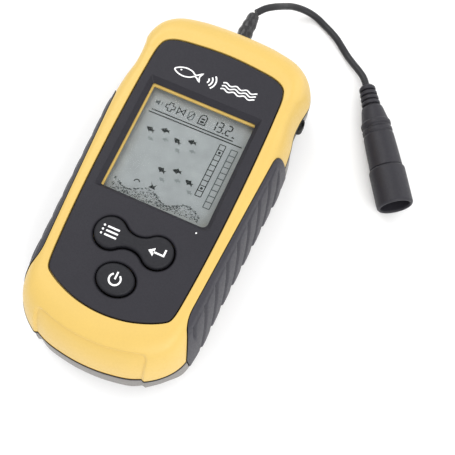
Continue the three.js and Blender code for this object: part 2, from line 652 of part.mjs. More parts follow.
function socket() {
  const boot = [[0, 0], [2.8, 0]];
  for (let rib = 0; rib < 4; rib += 1) {
    const at = 1.2 + 2.05 * rib;
    const radius = 3.2 + 0.13 * rib;
    boot.push([radius, at], [radius, at + 0.9], [radius - 0.7, at + 1.1], [radius - 0.7, at + 1.8]);
  }
  boot.push([3.8, BOOT_LENGTH], [0, BOOT_LENGTH]);
  addPiece('socket_boot', 'rubber', placeOnTable(turned(boot, 14)));

  const start = BOOT_LENGTH + GAP;
  const end = SOCKET_BODY_END;
  const body = [[0, start], [4, start], [5.3, 16], [5.75, 16.4], [5.75, 17.8], [5.2, 18.2], [5.2, 19],
    [5.75, 19.4], [5.75, 20.8], [5.4, 21.2], [5.9, 22], [6.25, end], [0, end]];
  addPiece('socket_body', 'rubber', placeOnTable(turned(body, 20)));

  const outer = COLLAR_RADIUS;
  const collar = [[0, end + GAP], [outer - 0.4, end + GAP], [outer, end + 1.1], [outer, SOCKET_MOUTH - 0.5],
    [outer - 0.4, SOCKET_MOUTH], [BORE_RADIUS + 0.2, SOCKET_MOUTH], [BORE_RADIUS, SOCKET_MOUTH - 0.8],
    [BORE_RADIUS, SOCKET_FLOOR], [0, SOCKET_FLOOR]];
  addPiece('socket_collar', 'rubber', placeOnTable(turned(collar, 20)));

  const insertStart = SOCKET_FLOOR + GAP;
  const insertEnd = insertStart + 2.4;
  const insert = [[0, insertStart], [3.6, insertStart], [3.6, insertEnd], [0, insertEnd]];
  addPiece('socket_insert', 'chip', placeOnTable(turned(insert, 16)));
  const pinStart = insertEnd + GAP;
  const pinEnd = pinStart + 2;
  const pin = [[0, pinStart], [0.8, pinStart], [0.8, pinEnd - 0.4], [0.4, pinEnd], [0, pinEnd]];
  addPiece('socket_pin', 'metal', placeOnTable(turned(pin, 10)));
}

frontShell();
frontPanel();
display();
rockerKey();
powerKey();
electronics();
screws();
caseSeal();
rearShell();
batteryDoor();
batteries();
grips();
strapLug();
cableGland();
addPiece('cable', 'seal', tube(CABLE_ROUTE, CABLE_DIAMETER / 2, 24, 8));
socket();

export default group;
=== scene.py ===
import math

import bpy
import numpy as np
from mathutils import Matrix, Vector


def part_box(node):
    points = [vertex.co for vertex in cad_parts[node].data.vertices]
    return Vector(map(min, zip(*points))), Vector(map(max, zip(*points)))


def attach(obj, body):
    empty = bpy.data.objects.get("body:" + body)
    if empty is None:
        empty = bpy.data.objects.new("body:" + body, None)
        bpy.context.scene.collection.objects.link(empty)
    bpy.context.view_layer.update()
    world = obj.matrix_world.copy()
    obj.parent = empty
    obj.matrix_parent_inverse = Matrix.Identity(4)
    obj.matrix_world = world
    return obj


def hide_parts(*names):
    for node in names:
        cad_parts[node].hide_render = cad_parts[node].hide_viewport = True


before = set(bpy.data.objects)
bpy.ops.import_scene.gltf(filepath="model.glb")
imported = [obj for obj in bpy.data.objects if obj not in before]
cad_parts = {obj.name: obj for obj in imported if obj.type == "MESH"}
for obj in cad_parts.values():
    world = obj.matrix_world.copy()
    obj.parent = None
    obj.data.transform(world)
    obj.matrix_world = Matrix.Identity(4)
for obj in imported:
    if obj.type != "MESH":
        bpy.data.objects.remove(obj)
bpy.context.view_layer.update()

# Handheld fish finder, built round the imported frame. Shapes are worked out in millimetres and turned
# into metres when a piece is placed. +Z is up out of the screen and +Y points to the cable end.
MM = 0.001


def box_mm(node):
    """Lowest and highest corner of a CAD node, in millimetres."""
    low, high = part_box(node)
    return np.array(low) / MM, np.array(high) / MM


# ---- driving dimensions, from the frame
GAP = 0.3
REAR_TOP = box_mm("rear_shell")[1][2]
SEAL_BOTTOM, SEAL_TOP = box_mm("case_seal")[0][2], box_mm("case_seal")[1][2]
FRONT_BOTTOM, FACE_TOP = box_mm("front_shell")[0][2], box_mm("front_shell")[1][2]
PANEL_BOTTOM = box_mm("front_panel")[0][2]
POCKET_FLOOR = PANEL_BOTTOM - GAP
PLATE_UNDERSIDE = POCKET_FLOOR - 2.4
KEY_TOP = box_mm("power_key")[1][2]
LENS_LOW, LENS_HIGH = box_mm("screen_lens")
LCD_LOW, LCD_HIGH = box_mm("lcd_glass")
LCD_FACE = LCD_HIGH[2] - 0.05
SCREEN_Y = (LENS_LOW[1] + LENS_HIGH[1]) / 2
LENS_MARGIN = 1.7
SCREEN_HALF = ((LENS_HIGH[0] - LENS_LOW[0]) / 2 - LENS_MARGIN, (LENS_HIGH[1] - LENS_LOW[1]) / 2 - LENS_MARGIN)

# Right half of the casing outline at its widest, and of the panel's outline, from the bottom end up.
CASING_SIDE = [
    (0, -69), (8.6, -68.4), (17.9, -66.3), (25.5, -61.7), (30.8, -55), (32.5, -46.8), (33, -30),
    (33.8, -10), (34.5, 8), (35, 22), (34.1, 34), (32.7, 41), (32.7, 46.5), (33.3, 54.6), (30.3, 61.1),
    (24.7, 65.8), (15.7, 68.2), (6.7, 68.9), (0, 69),
]
PANEL_SIDE = [
    (0, -50.5), (9.1, -49.5), (16.2, -47.2), (20.7, -44.9), (22.2, -43.7), (23, -41.8), (24, -31.9),
    (24.9, -14.3), (25.3, 4.3), (25.3, 22), (25, 36), (24.4, 45.3), (23.2, 48.5), (20, 50.5), (10.9, 51.9),
    (0, 52.5),
]
# Sides below the widest level as (inset, height), and above it as (share of the way to the panel, height).
SIDE_PROFILE = [(8.5, 0), (5.05, 1.6), (1.9, 3.8), (0.35, 6.2), (0, 8.5)]
FACE_PROFILE = [
    (0, 8.5), (0.03, 14), (0.085, 19.5), (0.105, 20.9), (0.147, 23.5), (0.197, 26), (0.28, 29),
    (0.394, 31.8), (0.52, 33.5), (0.705, 34.5), (1, 34.7),
]
RING_POINTS = 720
NORMAL_REACH = 9  # ring points that a casing normal is taken over, so that deep insets stay smooth
SIDES = (1, -1)

ROCKER = {"y": -24.4, "lobe_x": 8.7, "radius": 5.6, "waist": 2.3}
POWER = {"y": -38.3, "x": 6.6, "radius_y": 5.4}
GRIP = {"bottom": 9.0, "depth": 2.2, "proud": 0.6, "pitch": 8.2, "slant": 0.53}
BAY_WALLS = ((-23.6, -53.3, -1), (23.6, 2.8, 15.6))
BAY_ROOM = ((-21.8, -51.5, 1), (21.8, -0.3, 13.8))
DOOR_WAY = ((-22.65, -80, -1), (22.65, 1.45, 2.2))
DOOR_GROOVE = ((-23.4, -80, 0.7), (23.4, 1.45, 2.2))
SCREW_HOLE = [(0, -1), (2.9, -1), (2.3, 0.35), (2.3, 6), (1.35, 6), (1.35, 26), (0, 26)]
CASE_SCREWS = 6
WALL = 2.2
BEYOND = 90  # past the casing in every direction
FACE_CUT = (25, 40)  # heights that a cutter through the front face spans
GRIP_CUT_TOP = 42
KEYHOLE_GAP = 0.6  # round the keys in the shell, and less in the panel over it
PANEL_KEYHOLE_GAP = 0.45
PANEL_GAP = 0.2
GLAND_X, GLAND_Z = -1.6, 17.2
GLAND_TIP = box_mm("cable_gland")[1][1]

CABLE_DIAMETER = 2.9
CABLE_TRIM = 0.08  # how much thinner the drawn sheath is, all round, than the solid cable
# The free cable's centreline, from the gland's tip to the socket's boot.
CABLE_ROUTE = [
    (-1.3, 82, 17.2), (1.1, 85.4, 16.8), (3.5, 88.3, 15.3), (5.2, 91, 12.7), (6.6, 93.6, 9.8),
    (8.5, 96.1, 7.1), (11.5, 97.9, 4.8), (15.1, 98.7, 3.1), (19, 98.3, 2), (22.8, 96.8, 1.5),
    (26.5, 94.8, 1.9), (29.9, 92.6, 2.3), (33.2, 90.2, 1.9), (36.5, 87.7, 1.7), (39.7, 85.2, 2.5),
    (42.8, 82.8, 3.6), (45.9, 80.2, 4.4), (48.4, 77, 4.8),
]
GLAND_BORE = [(0, 56), (3, 56), (3, 80), (0, 80)]
SOCKET_START = (48.6, 76.7, 4.95)
SOCKET_TILT = math.radians(3)
SOCKET_TURN = math.radians(-56.7)


# ---- curves and rings
def smooth_curve(points, count, closed=False):
    """Points evenly spaced along a centripetal Catmull-Rom curve through the given ones."""
    given = np.array(points, float)
    if closed:
        padded = np.vstack([given[-1], given, given[:2]])
    else:
        padded = np.vstack([2 * given[0] - given[1], given, 2 * given[-1] - given[-2]])
    fine = []
    for a, b, c, d in zip(padded, padded[1:], padded[2:], padded[3:]):
        t1 = math.sqrt(np.linalg.norm(b - a))
        t2 = t1 + math.sqrt(np.linalg.norm(c - b))
        t3 = t2 + math.sqrt(np.linalg.norm(d - c))
        for t in np.linspace(t1, t2, 24, endpoint=False):
            ab = ((t1 - t) * a + t * b) / t1
            bc = ((t2 - t) * b + (t - t1) * c) / (t2 - t1)
            cd = ((t3 - t) * c + (t - t2) * d) / (t3 - t2)
            abc = ((t2 - t) * ab + t * bc) / t2
            bcd = ((t3 - t) * bc + (t - t1) * cd) / (t3 - t1)
            fine.append(((t2 - t) * abc + (t - t1) * bcd) / (t2 - t1))
    fine.append(padded[-2])
    fine = np.array(fine)
    along = np.concatenate([[0], np.cumsum(np.linalg.norm(np.diff(fine, axis=0), axis=1))])
    stops = np.linspace(0, along[-1], count, endpoint=not closed)
    return np.column_stack([np.interp(stops, along, fine[:, i]) for i in range(fine.shape[1])])


def mirrored_ring(side):
    """The closed ring that a right half outline and its mirror image make."""
    return smooth_curve(list(side) + [(-x, y) for x, y in side[-2:0:-1]], RING_POINTS, closed=True)


def inset(ring, distance, reach=1):
    """A ring moved inwards along its own normals, which are taken over reach points each way."""
    along = np.roll(ring, -reach, axis=0) - np.roll(ring, reach, axis=0)
    along /= np.linalg.norm(along, axis=1)[:, None]
    return ring + distance * np.column_stack([-along[:, 1], along[:, 0]])


def at_height(ring, z):
    return np.column_stack([ring, np.full(len(ring), float(z))])


def arc(x, y, radius, start, end, count):
    turn = np.linspace(start, end, count)
    return np.column_stack([x + radius * np.cos(turn), y + radius * np.sin(turn)])


def smoothstep(low, high, value):
    share = np.clip((value - low) / (high - low), 0, 1)
    return share * share * (3 - 2 * share)


def without_repeats(ring):
    """The ring with each point that lies on the one before it left out."""
    keep = np.linalg.norm(ring - np.roll(ring, 1, axis=0), axis=1) > 1e-4
    return ring[keep]


def rounded_rectangle(half_x, half_y, y, radii):
    """A rectangle about (0, y). Its corner radii go right low, right high, left high, left low."""
    quarter = math.pi / 2
    parts = []
    for turn, (sx, sy), radius in zip(range(4), ((1, -1), (1, 1), (-1, 1), (-1, -1)), radii):
        centre = (sx * (half_x - radius), y + sy * (half_y - radius))
        parts.append(arc(*centre, radius, (turn - 1) * quarter, turn * quarter, 8))
    return without_repeats(np.vstack(parts))


def rocker_outline(grow):
    """Two round lobes joined by a waist, whose hollow sides run smoothly into the lobes."""
    y, lobe_x, radius, waist = ROCKER.values()
    steps = 40
    plain = (lobe_x**2 + waist**2 - radius**2) / (2 * (radius - waist))
    high = waist + plain
    lean = math.atan2(high, lobe_x)
    parts = [
        arc(lobe_x, y, radius + grow, lean - math.pi, math.pi - lean, 2 * steps),
        arc(0, y + high, plain - grow, -lean, lean - math.pi, steps),
        arc(-lobe_x, y, radius + grow, lean, 2 * math.pi - lean, 2 * steps),
        arc(0, y - high, plain - grow, math.pi - lean, lean, steps),
    ]
    return without_repeats(np.vstack(parts))


def power_outline(grow):
    turn = np.linspace(0, 2 * math.pi, 120, endpoint=False)
    return np.column_stack([
        (POWER["x"] + grow) * np.cos(turn), POWER["y"] + (POWER["radius_y"] + grow) * np.sin(turn)])


# ---- meshes
def make(name, vertices, faces):
    mesh = bpy.data.meshes.new(name)
    mesh.from_pydata([tuple(map(float, v)) for v in vertices], [], faces)
    piece = bpy.data.objects.new(name, mesh)
    bpy.context.scene.collection.objects.link(piece)
    return piece


def loft(name, rings):
    """A closed solid through rings of matching points, with flat ends."""
    count = len(rings[0])
    faces = []
    for level in range(len(rings) - 1):
        start = level * count
        for i in range(count):
            j = (i + 1) % count
            faces.append((start + i, start + j, start + count + j, start + count + i))
    faces.append(tuple(range(count - 1, -1, -1)))
    last = (len(rings) - 1) * count
    faces.append(tuple(range(last, last + count)))
    return make(name, np.vstack(rings), faces)


def prism(name, outline, levels):
    """An upright prism over an outline, with a level for each (inset, height)."""
    return loft(name, [at_height(inset(outline, distance), z) for distance, z in levels])


def rounded_edge(top, radius, steps=5):
    """Levels that round a prism's top edge over."""
    turns = np.linspace(0, math.pi / 2, steps)
    return [(radius * (1 - math.cos(t)), top - radius + radius * math.sin(t)) for t in turns]


def lathe(name, profile, sides=96, wobble=None):
    """A solid turned about +Z from (radius, height) pairs that start and end on the axis."""
    turn = np.linspace(0, 2 * math.pi, sides, endpoint=False)
    rings = []
    for radius, height in profile[1:-1]:
        reach = radius * (np.ones(sides) if wobble is None else wobble(turn, height))
        rings.append(np.column_stack([reach * np.cos(turn), reach * np.sin(turn), np.full(sides, height)]))
    return loft(name, rings)


def apply_modifiers(piece):
    bpy.context.view_layer.update()
    depsgraph = bpy.context.evaluated_depsgraph_get()
    mesh = bpy.data.meshes.new_from_object(piece.evaluated_get(depsgraph))
    piece.modifiers.clear()
    piece.data = mesh


def combine(piece, others, operation="DIFFERENCE"):
    """Cuts or joins a piece with other solids, which are used up."""
    for other in others:
        modifier = piece.modifiers.new("combine", "BOOLEAN")
        modifier.operation = operation
        modifier.solver = "MANIFOLD"
        modifier.object = other
    apply_modifiers(piece)
    for other in others:
        bpy.data.objects.remove(other)
    return piece


def block(name, low, high, round_edges=0.0):
    """A box between two corners, with its edges rounded."""
    low, high = np.array(low, float), np.array(high, float)
    corners = [(x, y, z) for z in (low[2], high[2]) for x, y in (
        (low[0], low[1]), (high[0], low[1]), (high[0], high[1]), (low[0], high[1]))]
    faces = [(3, 2, 1, 0), (4, 5, 6, 7), (0, 1, 5, 4), (1, 2, 6, 5), (2, 3, 7, 6), (3, 0, 4, 7)]
    piece = make(name, corners, faces)
    if round_edges:
        modifier = piece.modifiers.new("round", "BEVEL")
        modifier.width = round_edges
        modifier.segments = 4
        apply_modifiers(piece)
    return piece


def shade(piece):
    """Smooth shading that keeps sharp edges and flat faces."""
    piece.data.shade_smooth()
    piece.data.set_sharp_from_angle(angle=math.radians(32))
    modifier = piece.modifiers.new("normals", "WEIGHTED_NORMAL")
    modifier.keep_sharp = True
    modifier.weight = 50


def place(piece, look, node, body="casing"):
    """Turns a finished piece into metres, gives it its material, shading and body, and hides its CAD node."""
    piece.data.transform(Matrix.Scale(MM, 4))
    wear(piece, look)
    shade(piece)
    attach(piece, body)
    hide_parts(node)
    return piece


# ---- materials
class Material:
    """A node material built round one Principled shader."""

    def __init__(self, name):
        self.made = bpy.data.materials.new(name)
        self.made.use_nodes = True
        self.nodes = self.made.node_tree.nodes
        self.links = self.made.node_tree.links
        self.shader = self.nodes["Principled BSDF"]
        self.output = self.nodes["Material Output"]
        self.place = self.nodes.new("ShaderNodeTexCoord").outputs["Object"]
        self.normal = None

    def set(self, **values):
        for name, value in values.items():
            self.shader.inputs[name.replace("_", " ")].default_value = value
        return self

    def link(self, output, socket):
        self.links.new(output, self.shader.inputs[socket])

    def noise(self, size_mm, detail=3.0, roughness=0.5, stretch=(1, 1, 1)):
        """A noise of about this feature size."""
        mapping = self.nodes.new("ShaderNodeMapping")
        mapping.inputs["Scale"].default_value = stretch
        self.links.new(self.place, mapping.inputs["Vector"])
        noise = self.nodes.new("ShaderNodeTexNoise")
        noise.inputs["Scale"].default_value = 1 / (size_mm * MM)
        noise.inputs["Detail"].default_value = detail
        noise.inputs["Roughness"].default_value = roughness
        self.links.new(mapping.outputs["Vector"], noise.inputs["Vector"])
        return noise.outputs["Fac"]

    def ramp(self, value, stops):
        """A colour ramp through (position, colour) stops."""
        ramp = self.nodes.new("ShaderNodeValToRGB")
        while len(ramp.color_ramp.elements) < len(stops):
            ramp.color_ramp.elements.new(0.5)
        for element, (position, colour) in zip(ramp.color_ramp.elements, stops):
            element.position = position
            element.color = (*colour, 1)
        self.links.new(value, ramp.inputs["Fac"])
        return ramp.outputs["Color"]

    def mix(self, share, first, second):
        """A colour mix. Each side and the share is an output, or a plain value."""
        mix = self.nodes.new("ShaderNodeMix")
        mix.data_type = "RGBA"
        for value, socket in ((share, mix.inputs[0]), (first, mix.inputs[6]), (second, mix.inputs[7])):
            if isinstance(value, bpy.types.NodeSocket):
                self.links.new(value, socket)
            else:
                socket.default_value = value if isinstance(value, (int, float)) else (*value, 1)
        return mix.outputs[2]

    def between(self, value, low, high, out_low, out_high):
        """A value's range mapped to another."""
        node = self.nodes.new("ShaderNodeMapRange")
        names = ("From Min", "From Max", "To Min", "To Max")
        for name, number in zip(names, (low, high, out_low, out_high)):
            node.inputs[name].default_value = number
        self.links.new(value, node.inputs["Value"])
        return node.outputs["Result"]

    def bump(self, height, depth_mm, strength):
        """Adds a bump on top of those made before."""
        bump = self.nodes.new("ShaderNodeBump")
        bump.inputs["Strength"].default_value = strength
        bump.inputs["Distance"].default_value = depth_mm * MM
        self.links.new(height, bump.inputs["Height"])
        if self.normal:
            self.links.new(self.normal, bump.inputs["Normal"])
        self.normal = bump.outputs["Normal"]
        self.link(self.normal, "Normal")

    def round_edges(self, radius_mm):
        """Softens the edges of moulded plastic."""
        bevel = self.nodes.new("ShaderNodeBevel")
        bevel.samples = 6
        bevel.inputs["Radius"].default_value = radius_mm * MM
        self.normal = bevel.outputs["Normal"]
        self.link(self.normal, "Normal")


def srgb(red, green, blue):
    """A linear colour from 0 to 255 display values."""
    return tuple(
        (c / 255) / 12.92 if c <= 10 else ((c / 255 + 0.055) / 1.055) ** 2.4 for c in (red, green, blue))


def scaled(colour, by):
    return tuple(c * by for c in colour)


def moulded(name, colour, roughness, grain_mm=0.28, grain_depth=0.012, spread=0.10, edge_mm=0.25,
            specular=0.5):
    """Moulded plastic or rubber: a fine eroded grain, faint flow marks, and a colour that varies a little."""
    m = Material(name).set(Roughness=roughness, Specular_IOR_Level=specular)
    if edge_mm:
        m.round_edges(edge_mm)
    flow = m.noise(14, detail=4)
    speck = m.noise(grain_mm * 2.2, detail=2)
    wide = m.mix(flow, scaled(colour, 1 - spread), scaled(colour, 1 + spread))
    m.link(m.mix(m.between(speck, 0.35, 0.75, 0, 0.35), wide, scaled(colour, 1 - 1.6 * spread)), "Base Color")
    m.link(m.between(speck, 0.3, 0.7, roughness - 0.06, roughness + 0.08), "Roughness")
    m.bump(flow, 0.05, 0.25)
    m.bump(m.noise(grain_mm, detail=3, roughness=0.6), grain_depth, 0.8)
    return m


materials = {
    "yellow": moulded("yellow_moulding", srgb(208, 175, 92), 0.42, grain_mm=0.35, grain_depth=0.010,
                      spread=0.05),
    "panel": moulded("panel_moulding", srgb(39, 38, 44), 0.55, grain_mm=0.22, grain_depth=0.016,
                     spread=0.12, edge_mm=0.12, specular=0.25),
    "key": moulded("key_rubber", srgb(27, 27, 32), 0.55, grain_mm=0.3, grain_depth=0.014, spread=0.12,
                   edge_mm=0, specular=0.28),
    "grip": moulded("grip_rubber", srgb(50, 49, 56), 0.5, grain_mm=0.35, grain_depth=0.012,
                    spread=0.16, edge_mm=0.15, specular=0.35),
    "seal": moulded("seal_rubber", srgb(17, 16, 16), 0.5, edge_mm=0.1, specular=0.2),
    "silver": moulded("silver_moulding", srgb(112, 108, 104), 0.38, grain_mm=0.3, grain_depth=0.008,
                      spread=0.05),
    "gland": moulded("gland_sleeve", srgb(28, 28, 31), 0.30, grain_mm=0.5, grain_depth=0.02,
                     spread=0.2, edge_mm=0),
    "cable": moulded("cable_sheath", srgb(38, 38, 41), 0.42, grain_mm=0.4, grain_depth=0.012,
                     spread=0.12, edge_mm=0, specular=0.3),
    "socket": moulded("socket_rubber", srgb(40, 39, 45), 0.5, grain_mm=0.3, grain_depth=0.02,
                      spread=0.15, edge_mm=0.12, specular=0.32),
    "black": moulded("black_plastic", srgb(18, 18, 20), 0.5, edge_mm=0),
    "white": moulded("white_print", srgb(240, 240, 240), 0.5, grain_mm=0.2, spread=0.02, edge_mm=0),
}


def lcd_material():
    """Grey-green display: mottled by its polariser, and a little darker towards its top edge, where painted
    shade stands for the frame's shadow.
    """
    m = Material("lcd_face").set(Roughness=0.35, Specular_IOR_Level=0.35)
    cloud = m.noise(4.5, detail=5, roughness=0.6)
    base = m.ramp(cloud, [(0.25, srgb(142, 145, 149)), (0.6, srgb(155, 158, 162)),
                          (0.85, srgb(164, 167, 170))])
    split = m.nodes.new("ShaderNodeSeparateXYZ")
    m.links.new(m.place, split.inputs[0])
    # painted shade: the display's top is mixed towards a darker grey
    painted_top_shade = m.between(split.outputs["Y"], 0.022, 0.034, 0, 0.55)
    speck = m.noise(0.5, detail=3, roughness=0.7)
    grain = m.mix(m.between(speck, 0.42, 0.62, 0, 0.5), base, srgb(170, 168, 168))
    m.link(m.mix(painted_top_shade, base, m.mix(0.5, grain, srgb(134, 131, 134))), "Base Color")
    m.bump(m.noise(0.25, detail=2), 0.004, 0.4)
    return m


def segment_material(name, colour):
    m = Material(name).set(Roughness=0.4, Specular_IOR_Level=0.3)
    m.link(m.mix(m.noise(0.7, detail=3), scaled(colour, 0.85), scaled(colour, 1.15)), "Base Color")
    return m


def lens_material():
    """Clear acrylic: what is behind it shows straight through, under a faint gloss."""
    m = Material("lens_acrylic")
    clear = m.nodes.new("ShaderNodeBsdfTransparent")
    clear.inputs["Color"].default_value = (0.95, 0.96, 0.95, 1)
    gloss = m.nodes.new("ShaderNodeBsdfGlossy")
    gloss.inputs["Roughness"].default_value = 0.08
    edge = m.nodes.new("ShaderNodeFresnel")
    edge.inputs["IOR"].default_value = 1.12
    haze = m.between(m.noise(6, detail=3), 0.3, 0.8, 0.05, 0.12)
    m.links.new(haze, gloss.inputs["Roughness"])
    mixed = m.nodes.new("ShaderNodeMixShader")
    m.links.new(edge.outputs["Fac"], mixed.inputs["Fac"])
    m.links.new(clear.outputs["BSDF"], mixed.inputs[1])
    m.links.new(gloss.outputs["BSDF"], mixed.inputs[2])
    m.links.new(mixed.outputs["Shader"], m.output.inputs["Surface"])
    m.nodes.remove(m.shader)
    return m


def metal_material(name, colour, roughness):
    """Plated steel with fine scratches."""
    m = Material(name).set(Metallic=1.0)
    scratch = m.noise(1.2, detail=6, roughness=0.7, stretch=(1, 12, 1))
    m.link(m.mix(scratch, scaled(colour, 0.85), colour), "Base Color")
    m.link(m.between(scratch, 0.3, 0.7, roughness - 0.08, roughness + 0.14), "Roughness")
    m.bump(scratch, 0.01, 0.3)
    return m


def board_material():
    """Solder mask over faint copper tracks."""
    m = Material("solder_mask").set(Roughness=0.35, Coat_Weight=0.3)
    brick = m.nodes.new("ShaderNodeTexBrick")
    brick.inputs["Scale"].default_value = 160
    brick.inputs["Color1"].default_value = (*srgb(24, 86, 48), 1)
    brick.inputs["Color2"].default_value = (*srgb(30, 98, 56), 1)
    brick.inputs["Mortar"].default_value = (*srgb(46, 120, 70), 1)
    m.links.new(m.place, brick.inputs["Vector"])
    m.link(m.mix(m.noise(3), brick.outputs["Color"], srgb(22, 80, 44)), "Base Color")
    return m


materials["lcd"] = lcd_material()
materials["segment"] = segment_material("lcd_segment", srgb(20, 24, 27))
materials["faint"] = segment_material("lcd_faint_segment", srgb(74, 80, 84))
# painted shadow that each fish mark casts on the display: a grey a little darker than the display
materials["painted_fish_shadow"] = segment_material("lcd_segment_shadow", srgb(124, 129, 132))
materials["lens"] = lens_material()
materials["steel"] = metal_material("plated_steel", srgb(200, 200, 204), 0.3)
materials["board"] = board_material()
materials["wrap"] = moulded("cell_wrap", srgb(58, 110, 165), 0.35, edge_mm=0)


def of(look):
    return materials[look].made


def wear(piece, *looks):
    """Gives a piece these materials and no others."""
    piece.data.materials.clear()
    for look in looks:
        piece.data.materials.append(of(look))


# ---- camera and cord, first
def make_camera():
    """Level camera, as far off and at the angle that the object is seen from."""
    azimuth, elevation = math.radians(24.3), math.radians(72.96)
    level = math.cos(elevation)
    back = Vector((math.sin(azimuth) * level, -math.cos(azimuth) * level, math.sin(elevation)))
    data = bpy.data.cameras.new("view")
    data.sensor_width = 36
    data.lens = 71.2
    camera = bpy.data.objects.new("view", data)
    camera.rotation_mode = "QUATERNION"
    camera.rotation_quaternion = (-back).to_track_quat("-Z", "Y")
    camera.location = (0.0631, -0.0877, 0.3254)
    bpy.context.scene.collection.objects.link(camera)
    bpy.context.scene.camera = camera


def make_cable():
    """The free cable, one spline along its route."""
    data = bpy.data.curves.new("cable_cord", "CURVE")
    data.dimensions = "3D"
    data.bevel_depth = (CABLE_DIAMETER / 2 - CABLE_TRIM) * MM
    data.bevel_resolution = 12
    data.use_fill_caps = True
    line = smooth_curve(CABLE_ROUTE, 160)
    spline = data.splines.new("POLY")
    spline.points.add(len(line) - 1)
    for point, at in zip(spline.points, line):
        point.co = (*(at * MM), 1)
    spline.use_smooth = True
    piece = bpy.data.objects.new("cable_cord", data)
    bpy.context.scene.collection.objects.link(piece)
    wear(piece, "cable")
    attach(piece, "casing")
    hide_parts("cable")
    return piece


# ---- casing surfaces
casing_ring = mirrored_ring(CASING_SIDE)
panel_ring = mirrored_ring(PANEL_SIDE)


def scoop_depth(points):
    """How far the thumb hollow across the bottom end goes in at each point."""
    x, y = points[..., 0], points[..., 1]
    below = -60.1 + 2.3 * (x / 16) ** 2 - y
    within = 20.6 - np.abs(x)
    corner = 3.0
    mix = np.clip(0.5 + 0.5 * (within - below) / corner, 0, 1)
    inside = within * (1 - mix) + below * mix - corner * mix * (1 - mix)
    return 0.95 * smoothstep(-0.34, 0.34, inside)


def shoulder_swell(points, share):
    """The head stands a little prouder than the waist, with a soft slanting crease where it begins."""
    crease = 43.8 + 1.7 * np.maximum(np.abs(points[..., 0]) - 28.5, 0)
    return 0.3 * smoothstep(0, 1.4, points[..., 1] - crease) * smoothstep(0.04, 0.12, share) * (
        1 - smoothstep(0.7, 0.98, share))


def grid_normals(grid):
    across = np.roll(grid, -1, axis=1) - np.roll(grid, 1, axis=1)
    up = np.gradient(grid, axis=0)
    normal = np.cross(across, up)
    return normal / np.maximum(np.linalg.norm(normal, axis=2), 1e-9)[..., None]


def share_levels(low, high, count):
    """Even steps of (share, height) along the upper profile between two heights."""
    reach = 14  # about how far a whole share goes sideways, which makes the steps even
    fine = smooth_curve([(share * reach, z) for share, z in FACE_PROFILE], 900)
    fine[:, 0] = np.clip(fine[:, 0] / reach, 0, 1)
    kept = fine[(fine[:, 1] >= low) & (fine[:, 1] <= high)]
    picked = kept[np.linspace(0, len(kept) - 1, count).astype(int)]
    picked[0, 1] = max(low, FACE_PROFILE[0][1])
    if high >= FACE_TOP:
        picked[-1] = (1, FACE_TOP)
    return picked


def share_ring(share, z, grow=0.0):
    """The outer form's outline above its widest level."""
    ring = casing_ring * (1 - share) + inset(panel_ring, -GAP) * share
    if grow:
        ring = inset(ring, -grow * (1 - share), NORMAL_REACH)
    return at_height(ring, z + grow * min(1, 2 * share))


def side_grid(grow=0.0):
    """Rings of the casing's side from the table to the seam."""
    steps = smooth_curve(SIDE_PROFILE, 26)
    low = [at_height(inset(casing_ring, distance - grow, NORMAL_REACH), z) for distance, z in steps]
    return np.array(low + [share_ring(share, z, grow) for share, z in share_levels(8.9, REAR_TOP, 10)])


def face_grid(grow=0.0):
    """Rings of the casing from the seam over the rim to the panel's edge, and each ring's share."""
    steps = share_levels(FRONT_BOTTOM, FACE_TOP, 70)
    return np.array([share_ring(share, z, grow) for share, z in steps]), steps[:, 0]


def pressed(grid, shares=None):
    """The casing's surface with the thumb hollow pressed in and the head swelled."""
    depth = scoop_depth(grid)
    if shares is not None:
        depth = depth * (1 - smoothstep(0.86, 0.98, shares))[:, None]
        depth -= shoulder_swell(grid, shares[:, None])
    return grid - grid_normals(grid) * depth[..., None]


def outer_form(name, grow):
    """The whole outer form as one solid, bigger by grow all round."""
    return loft(name, [*side_grid(grow), *face_grid(grow)[0]])


def quadratic(start, control, end, stops):
    """Points of a quadratic curve."""
    start, control, end = (np.array(point, float) for point in (start, control, end))
    return [tuple((1 - t) ** 2 * start + 2 * t * (1 - t) * control + t * t * end) for t in stops]


def grip_outline(side, grow=0.0):
    """Plan area of a side grip."""
    g = grow
    path = [(40 - g, 28 + g), (34.5 - g, 27 + g)]
    stops = np.linspace(0, 1, 15)[1:]
    path += quadratic(path[-1], (31.1 - g, 26 + g), (31 - g, 21.5), stops)
    path.append((27.6 - g, -36.5))
    path += quadratic(path[-1], (27.4 - g, -40), (28.6 - g, -43 - g), stops)
    path += quadratic(path[-1], (30.6 - g, -47 - g), (31.4 - g, -51 - g), stops)
    path.append((40 - g, -53 - g))
    outline = np.array(path)
    return outline if side > 0 else (outline * (-1, 1))[::-1]


def upright(name, outline, z0, z1):
    return loft(name, [at_height(outline, z0), at_height(outline, z1)])


def grip_pocket(side):
    pocket = upright("pocket", grip_outline(side, GAP), GRIP["bottom"] - GAP, GRIP_CUT_TOP)
    return combine(pocket, [outer_form("inner", -GRIP["depth"] - GAP)])


def lay_in_gland(piece):
    """Turns a piece made along +Z to lie along +Y on the gland's axis."""
    piece.data.transform(Matrix.Translation((GLAND_X, 0, GLAND_Z)) @ Matrix.Rotation(-math.pi / 2, 4, "X"))
    return piece


def casing_cutters():
    """What both shells and the seal leave room for: the two grips and the gland."""
    return [*[grip_pocket(side) for side in SIDES], lay_in_gland(lathe("bore", GLAND_BORE, 48))]


def hollow_between(z0, z1):
    """The room inside the casing's wall between two heights."""
    return combine(outer_form("cavity", -WALL), [
        block("below", (-BEYOND, -BEYOND, -BEYOND), (BEYOND, BEYOND, z0)),
        block("above", (-BEYOND, -BEYOND, z1), (BEYOND, BEYOND, BEYOND))])


